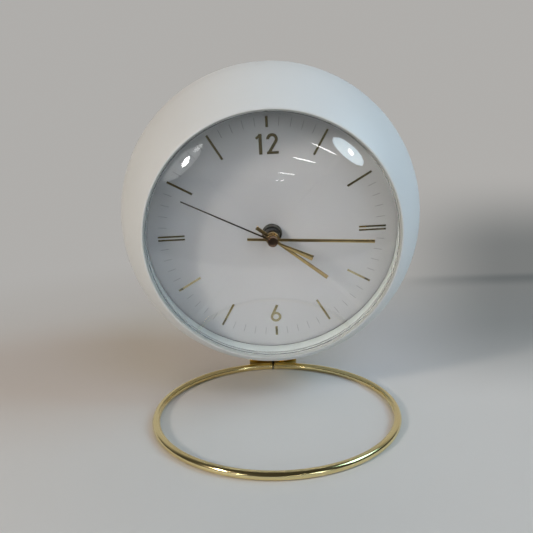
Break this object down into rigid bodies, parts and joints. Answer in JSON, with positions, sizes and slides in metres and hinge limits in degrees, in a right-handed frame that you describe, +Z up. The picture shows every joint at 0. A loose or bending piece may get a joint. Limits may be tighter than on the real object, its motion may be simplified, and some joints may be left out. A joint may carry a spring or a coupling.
{
  "type": "table clock",
  "caption": "Ball table clock with a domed lens over a plain dial, leaning forward on a ring of round brass rod, with a battery quartz movement inside.",
  "frame": {"origin": "middle of the clock's bounding box in plan, on the table", "axes": "+Z up, the dial looks towards -Y and leans forward, +X is to the right of someone who reads the dial"},
  "size_m": [0.176, 0.204, 0.1943],
  "materials": {
    "rod_brass": "polished",
    "shell_white": "satin lacquer",
    "lens_clear": "polished",
    "wall_white": "semi gloss",
    "dial_print": "matt print",
    "hand_brass": "brushed",
    "dark_nickel": "black nickel",
    "screw_steel": "zinc plated",
    "gasket_rubber": "matt",
    "case_black": "fine grained",
    "gear_plastic": "moulded",
    "contact_nickel": "nickel plated",
    "coil_copper": "enamelled wire",
    "board_green": "solder mask",
    "magnet_dark": "sintered",
    "cell_jacket": "printed film"
  },
  "bodies": {
    "stand_and_case": {"ring_rod": "rod_brass", "neck_bracket": "rod_brass", "bracket_screw_left": "screw_steel", "bracket_screw_right": "screw_steel", "front_shell": "shell_white", "rear_shell": "shell_white", "lens": "lens_clear", "inner_wall_ring": "wall_white", "dial_screw_1": "screw_steel", "dial_screw_2": "screw_steel", "dial_screw_3": "screw_steel", "dial_screw_4": "screw_steel", "dial": "dial_print", "dial_gasket": "gasket_rubber", "dial_washer": "dark_nickel", "dial_nut": "dark_nickel", "movement_front_case": "case_black", "movement_rear_case": "case_black", "battery_cell": "cell_jacket", "battery_contact_left": "contact_nickel", "battery_contact_right": "contact_nickel", "circuit_board": "board_green", "quartz_crystal": "contact_nickel", "motor_coil": "coil_copper", "motor_stator": "contact_nickel"},
    "cover": {"rear_cover": "shell_white"},
    "minute_work": {"minute_hand": "hand_brass", "minute_arbor": "gear_plastic"},
    "hour_work": {"hour_hand": "hand_brass", "hour_wheel": "gear_plastic"},
    "setting_work": {"time_set_knob": "case_black", "motion_wheel": "gear_plastic"},
    "second_work": {"second_hand": "hand_brass", "second_arbor": "gear_plastic"},
    "third_work": {"third_wheel": "gear_plastic"},
    "centre_work": {"centre_wheel": "gear_plastic"},
    "step_work": {"step_wheel": "gear_plastic"},
    "rotor_work": {"motor_rotor": "magnet_dark"}
  },
  "joints": [
    {"name": "cover_pull", "type": "slide", "parent": "stand_and_case", "child": "cover", "axis": [0, 0.9854, 0.1702], "range_m": [0, 0.03]},
    {"name": "minute_turn", "type": "hinge", "parent": "stand_and_case", "child": "minute_work", "pos_m": [0, 0.01408, 0.10636], "axis": [0, 0.9854, 0.1702], "continuous": true},
    {"name": "hour_turn", "type": "hinge", "parent": "stand_and_case", "child": "hour_work", "pos_m": [0, 0.01408, 0.10636], "axis": [0, 0.9854, 0.1702], "continuous": true},
    {"name": "setting_turn", "type": "hinge", "parent": "stand_and_case", "child": "setting_work", "pos_m": [-0.01163, 0.01361, 0.10907], "axis": [0, 0.9854, 0.1702], "continuous": true},
    {"name": "second_turn", "type": "hinge", "parent": "stand_and_case", "child": "second_work", "pos_m": [0, 0.01408, 0.10636], "axis": [0, 0.9854, 0.1702], "continuous": true},
    {"name": "third_turn", "type": "hinge", "parent": "stand_and_case", "child": "third_work", "pos_m": [0.00857, 0.01364, 0.10888], "axis": [0, 0.9854, 0.1702], "continuous": true},
    {"name": "centre_turn", "type": "hinge", "parent": "stand_and_case", "child": "centre_work", "pos_m": [0, 0.01408, 0.10636], "axis": [0, 0.9854, 0.1702], "continuous": true},
    {"name": "step_turn", "type": "hinge", "parent": "stand_and_case", "child": "step_work", "pos_m": [-0.00169, 0.01269, 0.11442], "axis": [0, 0.9854, 0.1702], "continuous": true},
    {"name": "rotor_turn", "type": "hinge", "parent": "stand_and_case", "child": "rotor_work", "pos_m": [-0.00604, 0.01185, 0.11924], "axis": [0, 0.9854, 0.1702], "continuous": true}
  ],
  "couplings": [
    {"joint": "hour_turn", "follows": "minute_turn", "ratio": 0.083333},
    {"joint": "setting_turn", "follows": "minute_turn", "ratio": -0.33333},
    {"joint": "third_turn", "follows": "second_turn", "ratio": -0.125},
    {"joint": "centre_turn", "follows": "second_turn", "ratio": 0.016667},
    {"joint": "step_turn", "follows": "second_turn", "ratio": -5},
    {"joint": "rotor_turn", "follows": "second_turn", "ratio": 30}
  ]
}
